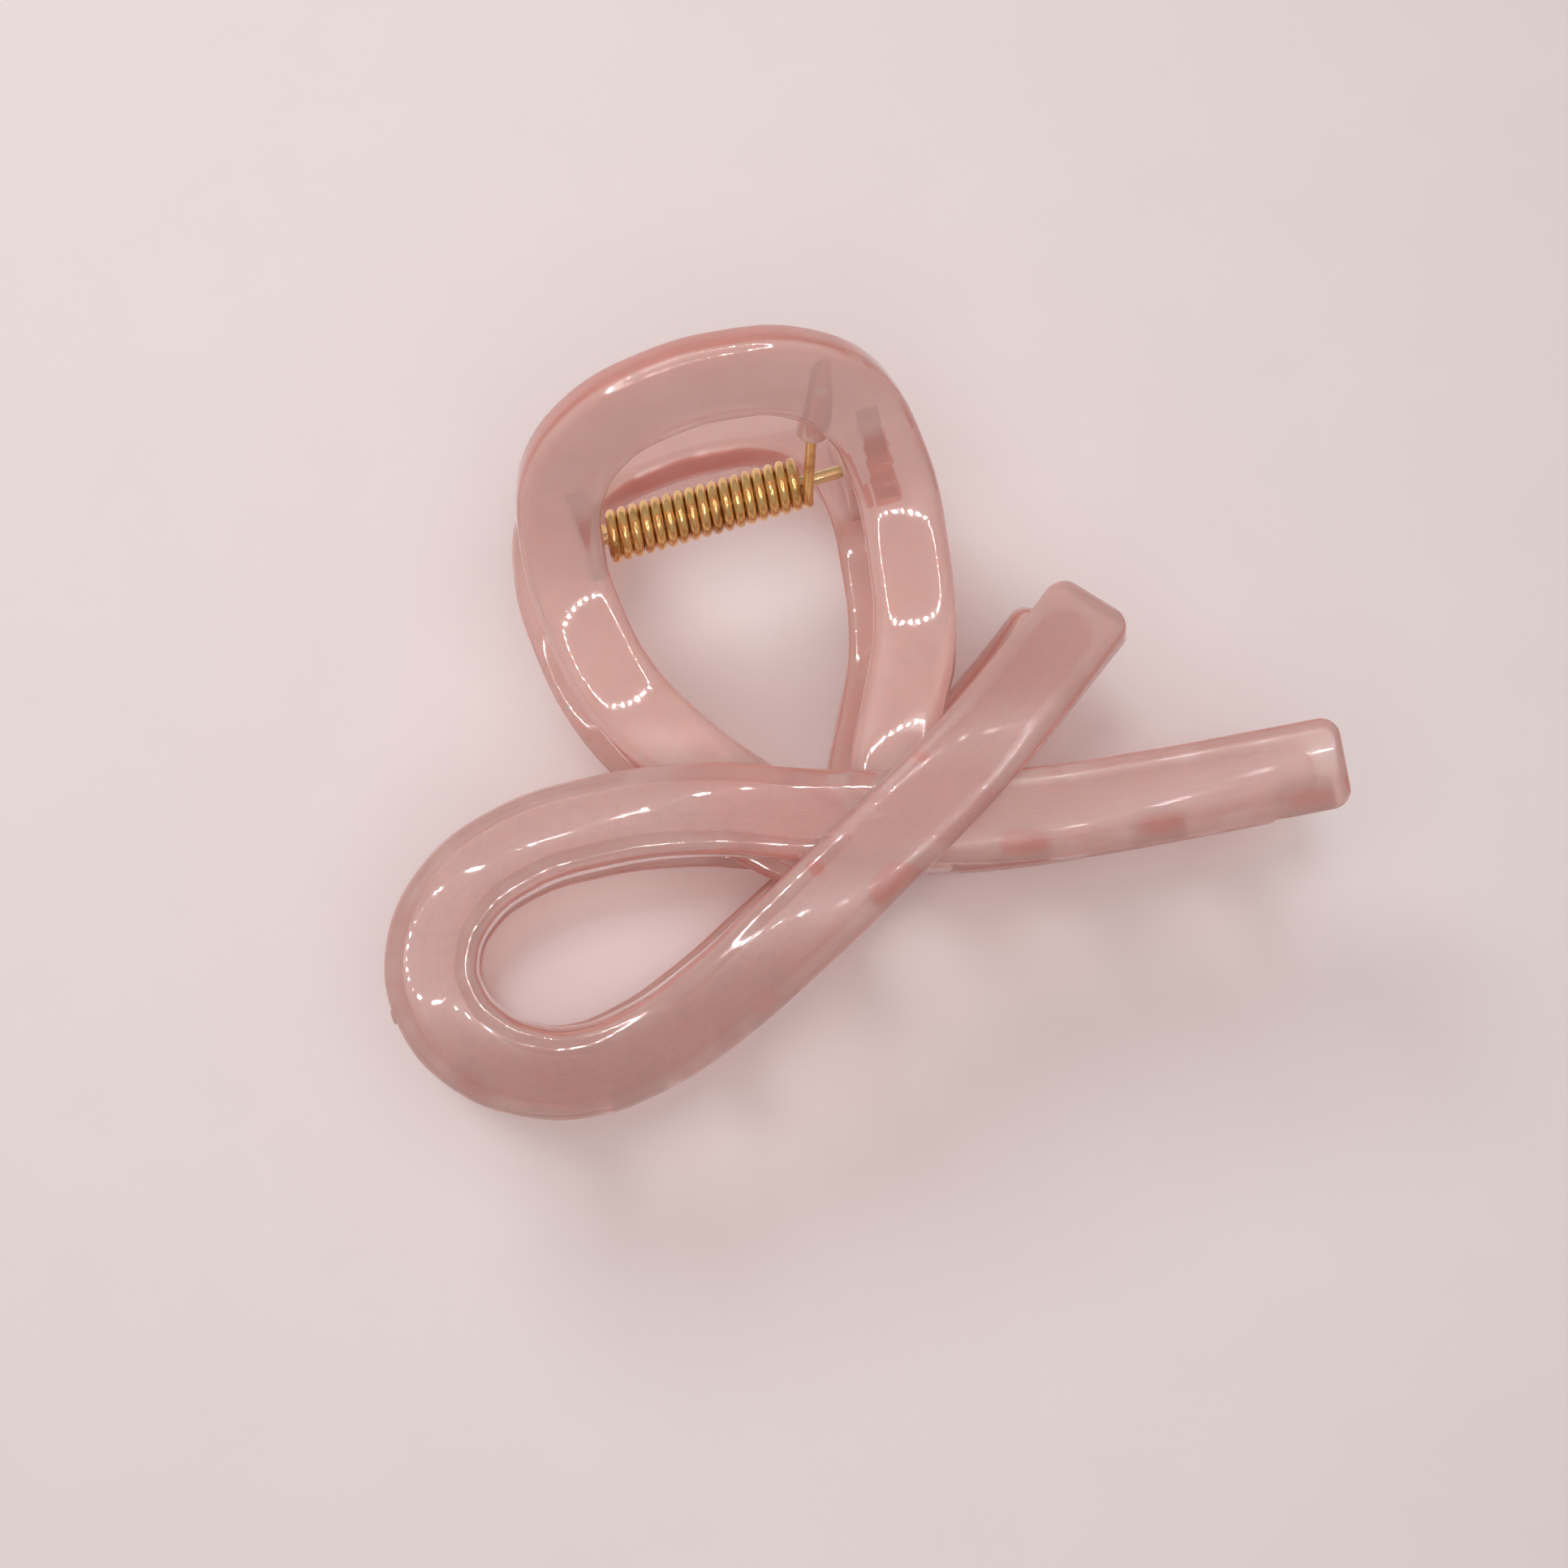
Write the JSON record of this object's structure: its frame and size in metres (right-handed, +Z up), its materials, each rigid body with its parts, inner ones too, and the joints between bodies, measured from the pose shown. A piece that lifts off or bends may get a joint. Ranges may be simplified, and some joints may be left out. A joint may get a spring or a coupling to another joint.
{
  "type": "claw clip",
  "caption": "Ribbon-shaped hair claw: two moulded jaws with finger rings, crossed ribbon bands and interlocking teeth, hinged on a metal pin and sprung shut by a torsion spring",
  "frame": {"origin": "middle of the bounding box on the surface the clip lies on", "axes": "+X along the hinge pin towards the ribbon tails, +Y towards the finger rings, +Z up, out of the front jaw; the clip lies on its back jaw"},
  "size_m": [0.1116, 0.0832, 0.0503],
  "materials": {
    "milky_plastic": "glossy milky translucent pink moulding, faintly marbled",
    "gilt_pin": "gold plated wire, slightly dull",
    "gilt_spring": "gold plated spring wire, bright on the crests and darker between the turns"
  },
  "bodies": {
    "back": {"back_jaw": "milky_plastic", "hinge_pin": "gilt_pin", "torsion_spring": "gilt_spring"},
    "front": {"front_jaw": "milky_plastic"}
  },
  "joints": [
    {"name": "jaw_hinge", "type": "hinge", "parent": "back", "child": "front", "pos_m": [-0.00249, 0.02328, 0.02375], "axis": [-0.9997, 0.0012, -0.0247], "range_deg": [0, 65], "stiffness_Nm_per_rad": 0.12, "springref_deg": -45.84, "deforming": ["torsion_spring"]}
  ]
}
